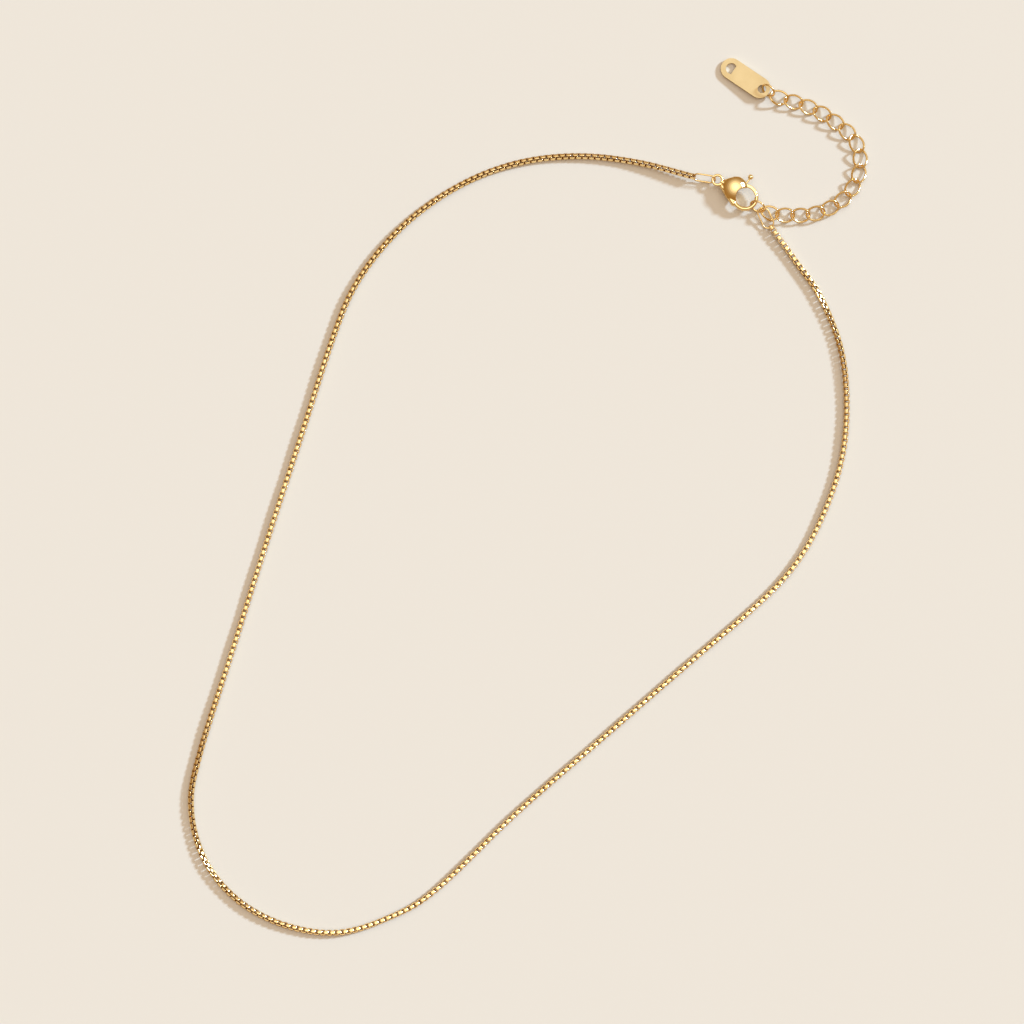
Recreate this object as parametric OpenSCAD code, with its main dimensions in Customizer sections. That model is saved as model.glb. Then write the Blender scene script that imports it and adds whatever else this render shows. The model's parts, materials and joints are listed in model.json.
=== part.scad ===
// Fine box-link chain necklace with a lobster clasp, an extender chain and a small tag.
// It lies on a flat surface as it is laid out, with the clasp fastened to the jump ring.
// Millimetres. X runs to the right, Y away and Z up. The origin is in the middle of the outline,
// on the surface.

/* [Box chain] */
// Outside length of one box link, along the chain
link_length = 1.02; // [1.01:0.01:1.03]
// Outside width of one box link, across the chain
link_size = 1.05; // [1.03:0.01:1.08]
// Thickness of the strip that a box link is bent from
strip_t = 0.16; // [0.15:0.01:0.16]
// Width of that strip
strip_w = 0.56; // [0.54:0.01:0.56]
// Cut-back of a box link's outer corners
link_corner = 0.18; // [0.1:0.02:0.18]

/* [Extender chain] */
// Outside length of one extender link
ext_length = 3.88; // [3.86:0.01:3.92]
// Outside width of one extender link
ext_width = 2.95; // [2.8:0.05:3]
// Wire diameter of the extender links
ext_wire = 0.4; // [0.38:0.01:0.4]
// Height that the twist of a link lifts its shoulders
ext_twist = 0.46; // [0.46:0.01:0.48]

/* [Clasp] */
// Distance from the eyelet's centre to the middle of the hook
hook_x = 6.15; // [6.1:0.05:6.2]
// Radius of the hook's centreline
hook_r = 2.2; // [2.15:0.05:2.2]
// Wire radius of the hook
hook_wire_r = 0.38; // [0.36:0.01:0.38]
// Centreline radius of the clasp's eyelet
eyelet_r = 0.92; // [0.9:0.02:0.94]
// Wire radius of the eyelet
eyelet_wire_r = 0.26; // [0.24:0.01:0.26]
// Radius of the clasp's pivot pin
pin_r = 0.22; // [0.2:0.01:0.22]
// Thickness of the clasp's lever
lever_t = 0.6; // [0.5:0.02:0.6]

/* [Rings] */
// Centreline radius of the jump ring in the hook
jump_r = 1.42; // [1.41:0.01:1.43]
// Wire radius of the round rings
ring_wire_r = 0.19; // [0.17:0.01:0.19]
// Outside length of the two oval end rings
oval_length = 4.5; // [4.5:0.05:4.6]
// Outside width of the two oval end rings
oval_width = 2.4; // [2.3:0.05:2.5]
// Wire radius of the oval end rings
oval_wire_r = 0.16; // [0.14:0.01:0.16]

/* [Tag] */
// Length of the tag
tag_length = 10.5; // [10:0.1:11]
// Width of the tag
tag_width = 4; // [3.8:0.1:4.2]
// Thickness of the tag
tag_t = 0.55; // [0.5:0.05:0.55]
// Radius of the round hole for the tag's ring
tag_hole_r = 0.8; // [0.78:0.01:0.82]
// Radius of the D-shaped free hole
tag_slot_r = 1.05; // [1:0.05:1.1]

/* [Hidden] */

gold = "gold";
pale_gold = "khaki";
$fn = 48;

// Route of the box chain, from the clasp's end round the front to the jump ring's end
chain_route = [
    [31.75, 60.5], [21, 63.3], [10.7, 64.5], [0.5, 63.7], [-9.2, 60.7], [-18.3, 55.5],
    [-26, 48.8], [-32.3, 40.5], [-36.5, 31], [-43, 11], [-49.5, -9], [-55.8, -29],
    [-62, -48.5], [-63.8, -58.8], [-61.4, -68.7], [-55.2, -76.5], [-46.2, -81.4], [-36, -82.9],
    [-26.1, -80], [-17.2, -74.7], [-2, -60.2], [13.5, -46.7], [29.3, -33], [45, -19.5],
    [52, -11.5], [56.8, -2.3], [59.9, 7.7], [60.7, 18], [59.5, 28.2], [55.7, 37.8],
    [51.2, 44.3], [46.25, 51.2]];
// Number of box links, which keeps the pitch near 0.61
link_count = 654;
// How far the chain's ends rise above the surface, as [distance along the chain, height]
chain_lift = [[0, 0.85], [6, 0.45], [13, 0.12], [20, 0], [394, 0], [400, 0.15]];
// Slow twist of the chain about its own length, as [distance along the chain, angle]
chain_twist = [[0, 35], [60, 20], [110, 4], [150, 0], [165, 20], [185, 45], [215, 70], [235, 90],
    [300, 92], [340, 84], [365, 72], [380, 48], [390, 20], [401, -14]];
// The chain touches the surface at points this far apart, and rises by twice touch_rise between
touch_every = 14;
touch_rise = 0.03;
// First box link of each group, counted from the clasp's end: the left groups, front to clasp,
// and the right groups, front to jump ring
left_cuts = [305, 262, 217, 171, 124, 89, 60, 31, 0];
right_cuts = [340, 384, 428, 473, 517, 552, 586, 620, link_count];

// Route of the extender's link centres, from the jump ring to the tag
ext_route = [[46.06, 53.7], [49, 53.3], [54.7, 53.6], [60, 56.3], [63, 61.2], [62.6, 66.8],
    [58.5, 71], [53.3, 73.9], [47.76, 75.58]];
ext_count = 16;
ext_z = 0.72;
// Turns of the extender's first and last links, which tip up to their rings
ext_first = [-15.1, 10, -4.9];
ext_last = [165.4, -8.6, -2.8];
ext_first_z = 0.89;
ext_last_z = 1.02;

// Places as [x, y, z], and turns as [heading, pitch, roll]
clasp_at = [36.1, 59.9, 1.5];
clasp_turn = [-33, 0, 0];
clasp_ring_at = [33.61, 60.25, 1.43];
clasp_ring_turn = [-9, -0.8, 57];
jump_at = [43.75, 54.9, 1.4];
jump_turn = [-36, 9, 57.3];
end_ring_at = [45.28, 52.78, 1.04];
end_ring_turn = [-63.5, 9, 11];
tag_at = [41.48, 79.31, 0.62];
tag_turn = [-34.3, -3.6, -0.5];
tag_ring_at = [45.76, 76.89, 1.49];
tag_ring_turn = [-44.4, 1.2, 59.4];
tag_ring_r = 1.3;
// Distance from the tag's round hole to its end
tag_hole_in = 1.5;
// Distance from the D-shaped hole's centre to its straight edge
tag_slot_flat = 0.55;
// Shoulders of an extender link, as a share of its half length and half width
ext_shoulder = 0.7;
// Size of the ball that joins its arcs at a shoulder, in wire radii
shoulder_ball = 1.04;

// Lobster clasp, in its own frame: the eyelet is at 0 and the hook points along +X
hook_y = 0.1;
pivot_at = [4.45, 1.8];
// How far the lever's tip is from the pivot, and its gap to the claw
lever_reach = 3.3;
lever_gap = 0.06;
// Claw and gate, as [direction of the middle, half angle] on the hook's centreline
claw_arc = [-60, 120];
gate_arc = [86, 44];
// How much thinner the gate's wire is than the hook's
gate_step = 0.05;
// Round shell of the body: centre, radius in plan, radius of its domed faces, half thickness
dome_at = [4, 0.45];
dome_r = 2.45;
lens_r = 3.4;
body_half_t = 1.35;
// The domed faces' middle is this far back from the shell's centre
lens_back = 0.3;
// Shoulders from the eyelet's neck to the shell
body_sides = [[0.75, 0.5], [2.1, 2], [4, 2.9], [4, -2], [2.2, -1.2], [0.95, -0.3]];
// Round neck between the eyelet and the shell
neck_at = [0.62, 0.12, 0];
neck_turn = 8;
neck_r = 0.36;
neck_length = 1;
mouth_r = 1.78;
// The hook is this many times as tall as it is wide
hook_tall = 1.3;
// Arm along the body's side that carries the claw: its two ends and their radii
arm_ends = [[1.3, -0.55], [4.95, -2.1]];
arm_r = [0.36, 0.5];
// Corner of the claw's end, beyond which the lever's tip swings past
claw_end = [0.3, 0.9];
// Slot for the lever, open outward from its inner corner
slot_t = 0.72;
slot_corner = [3.55, 0.9];
slot_size = [4, 3];
// Lever's hub, the room round it, and the clearance of its hole on the pin
hub_r = 0.55;
hub_room = 0.25;
hub_clearance = 0.03;
// The lever's hub fills the slot only up to here, and the spring lies over it
hub_top = 0;
// Thumb knob on its stem, from the pivot
stem_at = [0.45, 0.25, -0.12];
stem_turn = -4;
stem_r = 0.18;
stem_length = 1.7;
knob_at = [0.52, 2.1, -0.05];
knob_r = 0.5;
pin_length = 2;
// Torsion spring: radius of its turns, height of the first, distance between them, wire radius
spring_r = 0.36;
spring_z = 0.11;
spring_step = 0.13;
spring_wire_r = 0.08;
spring_leg = 0.55;
spring_leg_r = 0.07;
// Depth of the tools that cut right through the clasp
through = 4;

// ---- Curves -------------------------------------------------------------------------------

// A point between p1 and p2 on a smooth curve through four points
function between(p0, p1, p2, p3, t) =
    0.5 * (2 * p1 + (p2 - p0) * t + (2 * p0 - 5 * p1 + 4 * p2 - p3) * t * t
        + (-p0 + 3 * p1 - 3 * p2 + p3) * t * t * t);

function with_ends(p) = let (n = len(p)) concat([2 * p[0] - p[1]], p, [2 * p[n - 1] - p[n - 2]]);

// The route's points joined by a smooth curve, 10 steps to a span
function smoothed(p) =
    let (e = with_ends(p))
    concat([for (i = [1:len(p) - 1], k = [0:9]) between(e[i - 1], e[i], e[i + 1], e[i + 2], k / 10)],
        [p[len(p) - 1]]);

// Distance along a line of points, at each point
function distances(p) =
    [for (i = 0, sum = 0; i < len(p); sum = sum + (i + 1 < len(p) ? norm(p[i + 1] - p[i]) : 0), i = i + 1)
        sum];

// A route as [distances, points], and the place and heading at a distance along it
function measured(p) = let (s = smoothed(p)) [distances(s), s];
function route_length(route) = route[0][len(route[0]) - 1];
function table_of(route, axis) = [for (i = [0:len(route[0]) - 1]) [route[0][i], route[1][i][axis]]];
function place_on(tables, s) = [lookup(s, tables[0]), lookup(s, tables[1])];
function heading_on(tables, s) =
    let (d = place_on(tables, s + 0.2) - place_on(tables, s - 0.2)) atan2(d[1], d[0]);

// ---- Box chain ----------------------------------------------------------------------------

chain = measured(chain_route);
chain_tables = [table_of(chain, 0), table_of(chain, 1)];
link_pitch = route_length(chain) / link_count;

// Height of the chain's centre over the surface at distance s
function chain_height(s) =
    let (turn = lookup(s, chain_twist), long = link_size / 2, short = strip_w / 2)
    max(long * abs(cos(turn)) + short * abs(sin(turn)), short * abs(cos(turn)) + long * abs(sin(turn)))
        + lookup(s, chain_lift) + touch_rise * (1 - cos(360 * s / touch_every));

function chain_slope(s) = atan2(chain_height(s + 0.3) - chain_height(s - 0.3), 0.6);

// One box link: a strip bent into a squarish ring round its own Z axis
module box_link() {
    x = link_length / 2;
    y = link_size / 2;
    cut_x = x - link_corner;
    cut_y = y - link_corner;
    linear_extrude(strip_w, center = true)
        difference() {
            polygon([[x, cut_y], [cut_x, y], [-cut_x, y], [-x, cut_y],
                [-x, -cut_y], [-cut_x, -y], [cut_x, -y], [x, -cut_y]]);
            square([2 * (x - strip_t), 2 * (y - strip_t)], center = true);
        }
}

// Links first to last - 1, either the even ones or the odd ones, which are turned a quarter round
// and hook into them
module chain_links(first, last, odd) {
    color(gold)
        for (i = [first + abs(first % 2 - odd):2:last - 1]) {
            s = (i + 0.5) * link_pitch;
            p = place_on(chain_tables, s);
            translate([p[0], p[1], chain_height(s)])
                rotate([0, -chain_slope(s), heading_on(chain_tables, s)])
                    rotate([lookup(s, chain_twist) + 90 * odd, 0, 0])
                        box_link();
        }
}

module chain_front(odd) { chain_links(left_cuts[0], right_cuts[0], odd); }
module chain_left(n, odd) { chain_links(left_cuts[n], left_cuts[n - 1], odd); }
module chain_right(n, odd) { chain_links(right_cuts[n - 1], right_cuts[n], odd); }

// ---- Wire parts ---------------------------------------------------------------------------

// Puts a part at a place, turned by [heading, pitch, roll]
module placed(at, turn) {
    translate(at)
        rotate([0, turn[1], turn[0]])
            rotate([turn[2], 0, 0])
                children();
}

// An arc of round wire about Z, with its middle on +X
module wire_arc(radius, half_angle, wire_r) {
    rotate([0, 0, -half_angle])
        rotate_extrude(angle = 2 * half_angle)
            translate([radius, 0])
                circle(wire_r, $fn = 32);
}

module round_ring(radius, wire_r) {
    rotate_extrude()
        translate([radius, 0])
            circle(wire_r, $fn = 32);
}

// A flat oval ring of round wire: two half rings and two straight sides
module oval_ring() {
    radius = oval_width / 2 - oval_wire_r;
    half = oval_length / 2 - oval_wire_r - radius;
    for (side = [0, 180])
        rotate([0, 0, side]) {
            translate([half, 0, 0])
                wire_arc(radius, 90, oval_wire_r);
            translate([-half, radius, 0])
                rotate([0, 90, 0])
                    cylinder(2 * half, r = oval_wire_r, $fn = 32);
        }
}

module clasp_ring() { color(gold) placed(clasp_ring_at, clasp_ring_turn) oval_ring(); }
module end_ring() { color(gold) placed(end_ring_at, end_ring_turn) oval_ring(); }
module jump_ring() { color(gold) placed(jump_at, jump_turn) round_ring(jump_r, ring_wire_r); }
module tag_ring() { color(gold) placed(tag_ring_at, tag_ring_turn) round_ring(tag_ring_r, ring_wire_r); }

// ---- Extender -----------------------------------------------------------------------------

extender = measured(ext_route);
ext_tables = [table_of(extender, 0), table_of(extender, 1)];
ext_pitch = route_length(extender) / (ext_count - 1);
ext_wire_r = ext_wire / 2;
ext_a = ext_length / 2 - ext_wire_r;
ext_b = ext_width / 2 - ext_wire_r;
// Shoulders, where an end arc meets a side arc
shoulder_x = ext_shoulder * ext_a;
shoulder_y = ext_shoulder * ext_b;

function arc_radius(half_chord, rise) = (half_chord * half_chord + rise * rise) / (2 * rise);

// One end of a twisted oval link: its plane is rolled by the twist
module link_end(roll) {
    half_chord = norm([shoulder_y, ext_twist]);
    radius = arc_radius(half_chord, ext_a - shoulder_x);
    rotate([roll, 0, 0])
        translate([ext_a - radius, 0, 0])
            wire_arc(radius, asin(half_chord / radius), ext_wire_r);
}

// One side of it: its plane is pitched, so that it runs from a low shoulder to a high one
module link_side(pitch) {
    half_chord = norm([shoulder_x, ext_twist]);
    radius = arc_radius(half_chord, ext_b - shoulder_y);
    rotate([0, pitch, 0])
        translate([0, ext_b - radius, 0])
            rotate([0, 0, 90])
                wire_arc(radius, asin(half_chord / radius), ext_wire_r);
}

// A twisted oval link of round wire. Turned half round about Z it is the same link.
module twisted_link() {
    for (half = [0, 180])
        rotate([0, 0, half]) {
            link_end(atan2(ext_twist, shoulder_y));
            link_side(-atan2(ext_twist, shoulder_x));
            for (side = [-1, 1])
                translate([shoulder_x, side * shoulder_y, side * ext_twist])
                    sphere(shoulder_ball * ext_wire_r, $fn = 32);
        }
}

module extender_link(n) {
    s = (n - 1) * ext_pitch;
    p = place_on(ext_tables, s);
    first = n == 1;
    last = n == ext_count;
    z = first ? ext_first_z : last ? ext_last_z : ext_z;
    turn = first ? ext_first : last ? ext_last : [heading_on(ext_tables, s), 0, 0];
    color(gold)
        placed([p[0], p[1], z], turn)
            twisted_link();
}

// ---- Clasp --------------------------------------------------------------------------------

// Outline of the clasp's body in plan: a round shell that narrows to the neck
module body_outline() {
    translate(dome_at)
        circle(dome_r);
    polygon(body_sides);
}

// The body's domed faces: what two large balls have in common
module body_lens() {
    intersection_for (side = [-1, 1])
        translate([dome_at[0] - lens_back, dome_at[1], side * (lens_r - body_half_t)])
            sphere(lens_r, $fn = 96);
}

module clasp_body() {
    color(gold)
        placed(clasp_at, clasp_turn) {
            difference() {
                union() {
                    intersection() {
                        linear_extrude(through, center = true)
                            body_outline();
                        body_lens();
                    }
                    // The fixed claw, which goes round the end of the hook to the lever's tip
                    scale([1, 1, hook_tall]) {
                        translate([hook_x, hook_y, 0])
                            rotate([0, 0, claw_arc[0]])
                                wire_arc(hook_r, claw_arc[1], hook_wire_r);
                        hull()
                            for (end = [0, 1])
                                translate(arm_ends[end])
                                    sphere(arm_r[end], $fn = 32);
                    }
                }
                // Room for the lever's tip to swing past the claw's end
                intersection() {
                    at_pivot(-through / 2)
                        cylinder(through, r = lever_reach + lever_gap);
                    translate([hook_x + claw_end[0], hook_y + claw_end[1], -through / 2])
                        cube(through);
                }
                translate([hook_x, hook_y, -through / 2])
                    cylinder(through, r = mouth_r);
                lever_slot();
                at_pivot(-through / 2)
                    cylinder(through, r = pin_r);
            }
            round_ring(eyelet_r, eyelet_wire_r);
            translate(neck_at)
                rotate([0, 90, neck_turn])
                    cylinder(neck_length, r = neck_r);
        }
}

// The slot that the lever swings in, open to the outside and to the mouth
module lever_slot() {
    translate([slot_corner[0], slot_corner[1], -slot_t / 2])
        cube([slot_size[0], slot_size[1], slot_t]);
    at_pivot(-slot_t / 2)
        cylinder(slot_t, r = hub_r + hub_room);
}

// Moves a part to the clasp's pivot, at height z
module at_pivot(z) {
    translate([pivot_at[0], pivot_at[1], z])
        children();
}

// The gate that closes the mouth: round wire with two flats, ending on a circle round the pivot
module lever_gate() {
    intersection() {
        translate([hook_x, hook_y, 0])
            rotate([0, 0, gate_arc[0]])
                scale([1, 1, hook_tall])
                    wire_arc(hook_r, gate_arc[1], hook_wire_r - gate_step);
        at_pivot(-lever_t / 2)
            cylinder(lever_t, r = lever_reach);
    }
}

// The sprung lever: a hub on the pin, the gate, and a thumb knob on a stem
module clasp_lever() {
    color(gold)
        placed(clasp_at, clasp_turn) {
            difference() {
                union() {
                    at_pivot(-lever_t / 2)
                        cylinder(lever_t / 2 + hub_top, r = hub_r);
                    lever_gate();
                }
                at_pivot(-through / 2)
                    cylinder(through, r = pin_r + hub_clearance);
                at_pivot(hub_top)
                    cylinder(through / 2, r = hub_r);
            }
            at_pivot(0) {
                translate(stem_at)
                    rotate([-90, 0, stem_turn])
                        cylinder(stem_length, r = stem_r);
                translate(knob_at)
                    sphere(knob_r);
            }
        }
}

module clasp_pin() {
    color(pale_gold)
        placed(clasp_at, clasp_turn)
            at_pivot(-pin_length / 2)
                cylinder(pin_length, r = pin_r);
}

// A torsion spring of two turns round the pin, with one leg against the body
module clasp_spring() {
    color("silver")
        placed(clasp_at, clasp_turn)
            at_pivot(0) {
                for (turn = [0, 1])
                    translate([0, 0, spring_z + spring_step * turn])
                        round_ring(spring_r, spring_wire_r);
                translate([-spring_r, 0, spring_z + spring_step])
                    rotate([90, 0, 0])
                        cylinder(spring_leg, r = spring_leg_r, $fn = 24);
            }
}

// ---- Tag ----------------------------------------------------------------------------------

module tag() {
    end = tag_length / 2 - tag_width / 2;
    color(pale_gold)
        placed(tag_at, tag_turn)
            translate([0, 0, -tag_t / 2])
                difference() {
                    linear_extrude(tag_t) {
                        square([2 * end, tag_width], center = true);
                        for (side = [-1, 1])
                            translate([side * end, 0])
                                circle(tag_width / 2, $fn = 96);
                    }
                    translate([tag_length / 2 - tag_hole_in, 0, -1])
                        cylinder(tag_t + 2, r = tag_hole_r);
                    intersection() {
                        translate([-end, 0, -1])
                            cylinder(tag_t + 2, r = tag_slot_r);
                        translate([-end - tag_width, -tag_width / 2, -1])
                            cube([tag_width + tag_slot_flat, tag_width, tag_t + 2]);
                    }
                }
}

chain_front(0);  // chain_front_even
chain_front(1);  // chain_front_odd
chain_left(1, 0);  // chain_left_1_even
chain_left(1, 1);  // chain_left_1_odd
chain_left(2, 0);  // chain_left_2_even
chain_left(2, 1);  // chain_left_2_odd
chain_left(3, 0);  // chain_left_3_even
chain_left(3, 1);  // chain_left_3_odd
chain_left(4, 0);  // chain_left_4_even
chain_left(4, 1);  // chain_left_4_odd
chain_left(5, 0);  // chain_left_5_even
chain_left(5, 1);  // chain_left_5_odd
chain_left(6, 0);  // chain_left_6_even
chain_left(6, 1);  // chain_left_6_odd
chain_left(7, 0);  // chain_left_7_even
chain_left(7, 1);  // chain_left_7_odd
chain_left(8, 0);  // chain_left_8_even
chain_left(8, 1);  // chain_left_8_odd
chain_right(1, 0);  // chain_right_1_even
chain_right(1, 1);  // chain_right_1_odd
chain_right(2, 0);  // chain_right_2_even
chain_right(2, 1);  // chain_right_2_odd
chain_right(3, 0);  // chain_right_3_even
chain_right(3, 1);  // chain_right_3_odd
chain_right(4, 0);  // chain_right_4_even
chain_right(4, 1);  // chain_right_4_odd
chain_right(5, 0);  // chain_right_5_even
chain_right(5, 1);  // chain_right_5_odd
chain_right(6, 0);  // chain_right_6_even
chain_right(6, 1);  // chain_right_6_odd
chain_right(7, 0);  // chain_right_7_even
chain_right(7, 1);  // chain_right_7_odd
chain_right(8, 0);  // chain_right_8_even
chain_right(8, 1);  // chain_right_8_odd
clasp_ring();
clasp_body();
clasp_lever();
clasp_pin();
clasp_spring();
end_ring();
jump_ring();
extender_link(1);  // extender_1
extender_link(2);  // extender_2
extender_link(3);  // extender_3
extender_link(4);  // extender_4
extender_link(5);  // extender_5
extender_link(6);  // extender_6
extender_link(7);  // extender_7
extender_link(8);  // extender_8
extender_link(9);  // extender_9
extender_link(10);  // extender_10
extender_link(11);  // extender_11
extender_link(12);  // extender_12
extender_link(13);  // extender_13
extender_link(14);  // extender_14
extender_link(15);  // extender_15
extender_link(16);  // extender_16
tag_ring();
tag();
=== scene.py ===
"""Looks of a fine gold box-chain necklace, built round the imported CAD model. Metres."""

import json
import math

import bmesh
import bpy
import numpy as np
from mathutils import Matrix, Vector

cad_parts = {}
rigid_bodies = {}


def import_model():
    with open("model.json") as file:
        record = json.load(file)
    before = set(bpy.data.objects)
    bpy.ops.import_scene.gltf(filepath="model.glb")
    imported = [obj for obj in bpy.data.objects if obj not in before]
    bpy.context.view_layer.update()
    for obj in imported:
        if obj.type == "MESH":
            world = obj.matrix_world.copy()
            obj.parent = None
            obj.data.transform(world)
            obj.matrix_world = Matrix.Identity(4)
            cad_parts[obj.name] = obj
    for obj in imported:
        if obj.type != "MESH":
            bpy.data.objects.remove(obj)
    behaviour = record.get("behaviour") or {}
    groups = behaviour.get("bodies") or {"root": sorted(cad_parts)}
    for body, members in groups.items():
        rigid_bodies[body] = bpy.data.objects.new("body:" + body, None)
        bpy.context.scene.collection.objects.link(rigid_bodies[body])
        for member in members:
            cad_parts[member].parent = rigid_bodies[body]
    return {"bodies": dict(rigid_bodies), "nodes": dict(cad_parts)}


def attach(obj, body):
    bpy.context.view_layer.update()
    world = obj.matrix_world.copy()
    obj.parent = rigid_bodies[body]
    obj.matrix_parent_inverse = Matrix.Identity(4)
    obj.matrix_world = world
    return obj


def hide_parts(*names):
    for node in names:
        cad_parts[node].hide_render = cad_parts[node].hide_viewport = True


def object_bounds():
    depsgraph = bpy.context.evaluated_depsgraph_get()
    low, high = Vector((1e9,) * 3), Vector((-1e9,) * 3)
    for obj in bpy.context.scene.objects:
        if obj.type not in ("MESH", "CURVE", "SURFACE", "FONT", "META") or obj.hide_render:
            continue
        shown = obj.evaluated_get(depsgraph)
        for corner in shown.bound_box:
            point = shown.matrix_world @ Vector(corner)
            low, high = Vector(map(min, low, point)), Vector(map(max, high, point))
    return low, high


MM = 0.001

# Camera: straight down, as wide as VIEW_WIDE at the surface
VIEW_CENTRE = Vector((-2.85, -3.04, 0)) * MM
VIEW_WIDE = 194.6 * MM
LENS = 120
SENSOR = 36

# Rings: sides of the wire's section, and steps round the ring
WIRE_SIDES = 20
RING_STEPS = 96

# Box links: strip thickness, bend radius of its middle, and radius of its edges
STRIP = 0.16 * MM
BEND = 0.17 * MM
EDGE = 0.03 * MM
# Points on each bend and on each edge
BEND_STEPS = 6
EDGE_STEPS = 3

# Cast parts: size of the grid that they are remade on, and how often it is smoothed
BODY_GRID = 0.055 * MM
LEVER_GRID = 0.035 * MM
CAST_SMOOTH = 10

# Tag: width and steps of the bevel round its faces and holes
TAG_BEVEL = 0.12 * MM
TAG_BEVEL_STEPS = 3

# Colour that the gold turns to where it is seen edge-on, and the painted shade colour for the links'
# inner faces
EDGE_TINT = (0.85, 0.60, 0.30)
INSIDE_SHADE_COLOUR = (0.22, 0.08, 0.015)
STEEL_LIGHT = (0.72, 0.70, 0.66)
STEEL_DEEP = (0.55, 0.53, 0.50)
# Colour drift: patches per metre, and where the noise turns from the deep to the light colour
DRIFT_SCALE = 220
DRIFT_SPAN = (0.35, 0.65)
# Least and most polish, as shares of the roughness, and depth of the grain
POLISH_SPAN = (0.7, 1.4)
GRAIN_DEPTH = 0.02 * MM

# Floor: half its width, and its colour and roughness
FLOOR_SIZE = 3.0
FLOOR_COLOUR = (0.637, 0.575, 0.510)
FLOOR_ROUGH = 0.9

# Light: the key's direction, colour, strength and width in degrees
KEY_FROM = Vector((0.80, 0.39, 0.46))
KEY_COLOUR = (0.57, 0.79, 1.0)
KEY_STRENGTH = 4.86
KEY_SPREAD = 7
# Surroundings: a bright soft patch nearly overhead in a brown room, and how fast it falls off
PATCH_FROM = Vector((0.08, 0.23, 0.97))
PATCH_COLOUR = (2.20, 2.14, 1.94)
PATCH_FALL = 4.5
ROOM_COLOUR = (0.40, 0.23, 0.08)

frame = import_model()
cad_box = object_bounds()
NODES = frame["nodes"]


# ---- Reading the frame ----------------------------------------------------------------------


def node_points(node):
    mesh = NODES[node].data
    co = np.empty(len(mesh.vertices) * 3)
    mesh.vertices.foreach_get("co", co)
    return co.reshape(-1, 3)


def node_axes(node):
    """Centre of a node's surface and its own three axes, longest first, weighted by area."""
    # A triangle's second moment is that of 3/4 of its area at its middle and 1/12 at each corner
    mesh = NODES[node].data
    mesh.calc_loop_triangles()
    corners = np.empty(len(mesh.loop_triangles) * 3, int)
    mesh.loop_triangles.foreach_get("vertices", corners)
    tri = node_points(node)[corners.reshape(-1, 3)]
    area = np.linalg.norm(np.cross(tri[:, 1] - tri[:, 0], tri[:, 2] - tri[:, 0]), axis=1) / 2
    middle = tri.mean(axis=1)
    centre = (middle * area[:, None]).sum(0) / area.sum()
    spread = np.zeros((3, 3))
    for weight, point in [(3 / 4, middle)] + [(1 / 12, tri[:, corner]) for corner in range(3)]:
        offset = point - centre
        spread += weight * np.einsum("i,ij,ik->jk", area, offset, offset)
    _, axes = np.linalg.eigh(spread)
    axes = axes[:, ::-1]
    if np.linalg.det(axes) < 0:
        axes[:, 2] *= -1
    return centre, axes


def node_body(node):
    return next(name for name, empty in frame["bodies"].items() if empty == NODES[node].parent)


# ---- Materials ------------------------------------------------------------------------------


def new_material(name, **sockets):
    material = bpy.data.materials.new(name)
    material.use_nodes = True
    shader = material.node_tree.nodes["Principled BSDF"]
    for key, value in sockets.items():
        shader.inputs[key.replace("_", " ")].default_value = value
    return material, material.node_tree, shader


def metal(name, light, deep, rough, grain, bump, edge=EDGE_TINT):
    """Metal with a slow colour drift, uneven polish and fine surface grain of size grain (metres)."""
    material, tree, shader = new_material(name, Metallic=1.0, Specular_Tint=(*edge, 1))
    add, link = tree.nodes.new, tree.links.new
    place = add("ShaderNodeTexCoord")
    slow = add("ShaderNodeTexNoise")
    slow.inputs["Scale"].default_value = DRIFT_SCALE
    slow.inputs["Detail"].default_value = 3
    link(place.outputs["Object"], slow.inputs["Vector"])
    ramp = add("ShaderNodeValToRGB")
    for stop, position, colour in zip(ramp.color_ramp.elements, DRIFT_SPAN, (deep, light)):
        stop.position = position
        stop.color = (*colour, 1)
    link(slow.outputs["Fac"], ramp.inputs["Fac"])
    # Painted shade: the links' inner faces, marked by a mesh attribute, are mixed towards a deep
    # brown
    inside_shade_mask = add("ShaderNodeAttribute")
    inside_shade_mask.attribute_name = "inside_shade_mask"
    shade_mix = add("ShaderNodeMix")
    shade_mix.data_type = "RGBA"
    shade_mix.inputs["B"].default_value = (*INSIDE_SHADE_COLOUR, 1)
    link(inside_shade_mask.outputs["Fac"], shade_mix.inputs["Factor"])
    link(ramp.outputs["Color"], shade_mix.inputs["A"])
    link(shade_mix.outputs["Result"], shader.inputs["Base Color"])
    fine = add("ShaderNodeTexNoise")
    fine.inputs["Scale"].default_value = 1 / grain
    fine.inputs["Detail"].default_value = 5
    link(place.outputs["Object"], fine.inputs["Vector"])
    spread = add("ShaderNodeMapRange")
    spread.inputs["To Min"].default_value = rough * POLISH_SPAN[0]
    spread.inputs["To Max"].default_value = rough * POLISH_SPAN[1]
    link(fine.outputs["Fac"], spread.inputs["Value"])
    link(spread.outputs["Result"], shader.inputs["Roughness"])
    relief = add("ShaderNodeBump")
    relief.inputs["Strength"].default_value = bump
    relief.inputs["Distance"].default_value = GRAIN_DEPTH
    link(fine.outputs["Fac"], relief.inputs["Height"])
    link(relief.outputs["Normal"], shader.inputs["Normal"])
    return material


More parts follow.
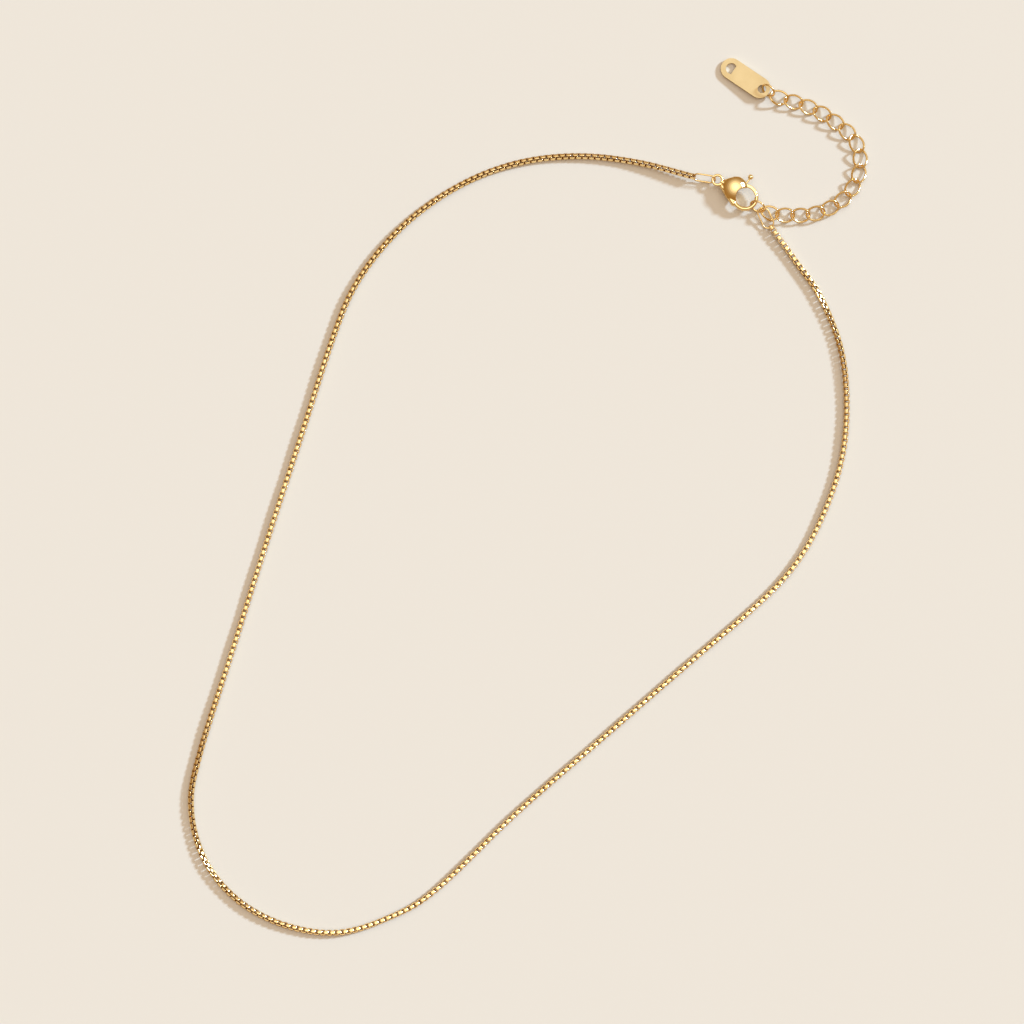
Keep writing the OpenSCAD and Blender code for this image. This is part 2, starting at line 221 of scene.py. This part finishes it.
CHAIN_GOLD = metal("chain_gold", (0.92, 0.70, 0.36), (0.84, 0.60, 0.27), 0.16, 0.12 * MM, 0.15)
WIRE_GOLD = metal("wire_gold", (0.92, 0.70, 0.36), (0.84, 0.60, 0.27), 0.14, 0.15 * MM, 0.12)
CLASP_GOLD = metal("clasp_gold", (0.90, 0.70, 0.36), (0.83, 0.60, 0.28), 0.13, 0.3 * MM, 0.08)
TAG_GOLD = metal("tag_gold", (0.70, 0.54, 0.30), (0.64, 0.48, 0.25), 0.6, 0.06 * MM, 0.35)
SPRING_STEEL = metal("spring_steel", STEEL_LIGHT, STEEL_DEEP, 0.25, 0.1 * MM, 0.1, STEEL_LIGHT)


def paint(obj, material):
    obj.data.materials.clear()
    obj.data.materials.append(material)
    return obj


# ---- Meshes ---------------------------------------------------------------------------------


def grid_faces(around, sides, start=0):
    """Quads of a closed tube: around sections of sides points each, from point start on."""
    faces = []
    for i in range(around):
        a, b = start + i * sides, start + (i + 1) % around * sides
        for k in range(sides):
            m = (k + 1) % sides
            faces.append((a + k, b + k, b + m, a + m))
    return faces


def swept_mesh(name, centres, sides, radius):
    """A closed loop of round wire along centres (N x 3)."""
    ahead = np.roll(centres, -1, 0) - np.roll(centres, 1, 0)
    ahead /= np.linalg.norm(ahead, axis=1)[:, None]
    out = centres - centres.mean(0)
    out -= (out * ahead).sum(1)[:, None] * ahead
    out /= np.linalg.norm(out, axis=1)[:, None]
    up = np.cross(ahead, out)
    turn = np.linspace(0, 2 * math.pi, sides, endpoint=False)
    ring = np.cos(turn)[None, :, None] * out[:, None] + np.sin(turn)[None, :, None] * up[:, None]
    points = (centres[:, None] + radius * ring).reshape(-1, 3)
    mesh = bpy.data.meshes.new(name)
    mesh.from_pydata(points.tolist(), [], grid_faces(len(centres), sides))
    mesh.validate()
    mesh.update()
    bm = bmesh.new()
    bm.from_mesh(mesh)
    bmesh.ops.recalc_face_normals(bm, faces=bm.faces)
    bm.to_mesh(mesh)
    bm.free()
    mesh.shade_smooth()
    obj = bpy.data.objects.new(name, mesh)
    bpy.context.collection.objects.link(obj)
    return obj


def stand_for(obj, node, material):
    paint(obj, material)
    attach(obj, node_body(node))
    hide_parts(node)
    return obj


def wire_extent(node, centre, axes):
    """Half sizes of a node along its own axes."""
    local = (node_points(node) - centre) @ axes
    return (local.max(0) - local.min(0)) / 2


def round_ring(node):
    """Smooth wire in the place of a round ring."""
    centre, axes = node_axes(node)
    half = wire_extent(node, centre, axes)
    wire = half[2]
    radius = (half[0] + half[1]) / 2 - wire
    turn = np.linspace(0, 2 * math.pi, RING_STEPS, endpoint=False)
    flat = np.stack([radius * np.cos(turn), radius * np.sin(turn), 0 * turn], 1)
    obj = swept_mesh(node + "_wire", centre + flat @ axes.T, WIRE_SIDES, wire)
    return stand_for(obj, node, WIRE_GOLD)


def oval_ring(node):
    """Smooth wire in the place of a ring with two straight sides."""
    centre, axes = node_axes(node)
    half = wire_extent(node, centre, axes)
    wire = half[2]
    radius = half[1] - wire
    straight = half[0] - half[1]
    turn = np.linspace(-math.pi / 2, math.pi / 2, RING_STEPS // 2)
    right = np.stack([straight + radius * np.cos(turn), radius * np.sin(turn), 0 * turn], 1)
    flat = np.concatenate([right, right * (-1, -1, 1)])
    obj = swept_mesh(node + "_wire", centre + flat @ axes.T, WIRE_SIDES, wire)
    return stand_for(obj, node, WIRE_GOLD)


def islands(node):
    """Vertex places of each separate solid in a node."""
    mesh = NODES[node].data
    mesh.calc_loop_triangles()
    corners = np.empty(len(mesh.loop_triangles) * 3, int)
    mesh.loop_triangles.foreach_get("vertices", corners)
    places, same = np.unique(np.round(node_points(node), 8), axis=0, return_inverse=True)
    tri = same.reshape(-1)[corners.reshape(-1, 3)]
    label = np.arange(len(places))
    while True:
        low = label[tri].min(axis=1)
        new = label.copy()
        for corner in range(3):
            np.minimum.at(new, tri[:, corner], low)
        if (new == label).all():
            break
        label = new
    return [places[label == k] for k in np.unique(label)]


def rounded_loop(half_x, half_y, radius, steps):
    """Points and outward directions round a rectangle with round corners."""
    points, outward = [], []
    for corner, (sx, sy) in enumerate(((1, 1), (-1, 1), (-1, -1), (1, -1))):
        for k in range(steps):
            turn = math.pi / 2 * (corner + k / (steps - 1))
            out = np.array([math.cos(turn), math.sin(turn)])
            points.append(np.array([sx * (half_x - radius), sy * (half_y - radius)]) + radius * out)
            outward.append(out)
    return np.array(points), np.array(outward)


def box_links(node):
    """Bent-strip links with rounded corners and edges in the places of a node's links."""
    points, faces, inside_shade_mask = [], [], []
    start = 0
    for solid in islands(node):
        centre = solid.mean(0)
        _, axes = np.linalg.eigh(np.cov((solid - centre).T))
        across, along, ring = axes[:, 2], axes[:, 1], axes[:, 0]
        if np.dot(np.cross(along, across), ring) < 0:
            ring = -ring
        local = (solid - centre) @ np.stack([along, across, ring], 1)
        half = (local.max(0) - local.min(0)) / 2
        path, outward = rounded_loop(half[0] - STRIP / 2, half[1] - STRIP / 2, BEND, BEND_STEPS)
        section, _ = rounded_loop(STRIP / 2, half[2], EDGE, EDGE_STEPS)
        flat = path[:, None] + outward[:, None] * section[None, :, :1]
        high = np.broadcast_to(section[None, :, 1:], flat.shape[:2] + (1,))
        world = np.concatenate([flat, high], 2) @ np.stack([along, across, ring]) + centre
        faces += grid_faces(len(path), len(section), start)
        start += len(path) * len(section)
        points.append(world.reshape(-1, 3))
        # Painted shade mask: 1 on the strip's inner faces, which the gold material darkens
        inside_shade_mask.append(np.broadcast_to(section[:, 0] < 0, flat.shape[:2]).ravel())
    mesh = bpy.data.meshes.new(node + "_links")
    mesh.from_pydata(np.concatenate(points).tolist(), [], faces)
    mesh.shade_smooth()
    shade = mesh.attributes.new("inside_shade_mask", "FLOAT", "POINT")
    shade.data.foreach_set("value", np.concatenate(inside_shade_mask).astype(np.float32))
    obj = bpy.data.objects.new(node + "_links", mesh)
    bpy.context.collection.objects.link(obj)
    return stand_for(obj, node, CHAIN_GOLD)


def cast(obj, grid):
    """Rounds a cast part's edges: remade on a fine grid, then smoothed."""
    remesh = obj.modifiers.new("remesh", "REMESH")
    remesh.mode = "VOXEL"
    remesh.voxel_size = grid
    remesh.use_smooth_shade = True
    smooth = obj.modifiers.new("smooth", "SMOOTH")
    smooth.iterations = CAST_SMOOTH
    smooth.factor = 0.5
    return obj


def bevelled(obj, width, segments):
    """Rounds the sharp edges of a plate."""
    bevel = obj.modifiers.new("bevel", "BEVEL")
    bevel.width = width
    bevel.segments = segments
    bevel.limit_method = "ANGLE"
    bevel.angle_limit = math.radians(30)
    bevel.harden_normals = True
    return obj


# ---- Every node's looks ---------------------------------------------------------------------


for name, obj in NODES.items():
    if name.startswith("chain_"):
        box_links(name)
    elif name == "clasp_body":
        cast(paint(obj, CLASP_GOLD), BODY_GRID)
    elif name == "clasp_lever":
        cast(paint(obj, CLASP_GOLD), LEVER_GRID)
    elif name == "clasp_pin":
        paint(obj, CLASP_GOLD)
    elif name == "clasp_spring":
        paint(obj, SPRING_STEEL)
    elif name == "tag":
        bevelled(paint(obj, TAG_GOLD), TAG_BEVEL, TAG_BEVEL_STEPS)

for name in ("jump_ring", "tag_ring"):
    round_ring(name)
for name in ("clasp_ring", "end_ring"):
    oval_ring(name)
for number in range(1, 17):
    paint(NODES[f"extender_{number}"], WIRE_GOLD)


# ---- Stage ----------------------------------------------------------------------------------


def make_floor():
    corners = [(x * FLOOR_SIZE, y * FLOOR_SIZE, 0) for x, y in ((-1, -1), (1, -1), (1, 1), (-1, 1))]
    mesh = bpy.data.meshes.new("floor")
    mesh.from_pydata(corners, [], [(0, 1, 2, 3)])
    floor = bpy.data.objects.new("floor", mesh)
    bpy.context.collection.objects.link(floor)
    floor.location.z = cad_box[0].z
    material, _, _ = new_material("floor_paper", Roughness=FLOOR_ROUGH, Base_Color=(*FLOOR_COLOUR, 1))
    paint(floor, material)


def make_lights():
    data = bpy.data.lights.new("key", "SUN")
    data.energy = KEY_STRENGTH
    data.color = KEY_COLOUR
    data.angle = math.radians(KEY_SPREAD)
    key = bpy.data.objects.new("key", data)
    bpy.context.collection.objects.link(key)
    key.rotation_mode = "QUATERNION"
    key.rotation_quaternion = (-KEY_FROM).to_track_quat("-Z", "Y")
    world = bpy.data.worlds.new("world")
    world.use_nodes = True
    tree = world.node_tree
    place = tree.nodes.new("ShaderNodeTexCoord")
    near = tree.nodes.new("ShaderNodeVectorMath")
    near.operation = "DOT_PRODUCT"
    near.inputs[1].default_value = PATCH_FROM.normalized()
    tree.links.new(place.outputs["Generated"], near.inputs[0])
    ahead = tree.nodes.new("ShaderNodeMath")
    ahead.operation = "MAXIMUM"
    ahead.inputs[1].default_value = 0
    tree.links.new(near.outputs["Value"], ahead.inputs[0])
    curve = tree.nodes.new("ShaderNodeMath")
    curve.operation = "POWER"
    curve.inputs[1].default_value = PATCH_FALL
    tree.links.new(ahead.outputs["Value"], curve.inputs[0])
    sky = tree.nodes.new("ShaderNodeMix")
    sky.data_type = "RGBA"
    sky.inputs["A"].default_value = (*ROOM_COLOUR, 1)
    sky.inputs["B"].default_value = (*PATCH_COLOUR, 1)
    tree.links.new(curve.outputs["Value"], sky.inputs["Factor"])
    tree.links.new(sky.outputs["Result"], tree.nodes["Background"].inputs["Color"])
    bpy.context.scene.world = world


def make_camera():
    data = bpy.data.cameras.new("camera")
    data.lens = LENS
    data.sensor_width = SENSOR
    camera = bpy.data.objects.new("camera", data)
    bpy.context.collection.objects.link(camera)
    distance = VIEW_WIDE * LENS / SENSOR
    camera.location = VIEW_CENTRE + Vector((0, 0, distance))
    data.clip_start = 0.01
    data.clip_end = 10
    bpy.context.scene.camera = camera


make_floor()
make_lights()
make_camera()
bpy.context.scene.view_settings.view_transform = "Standard"
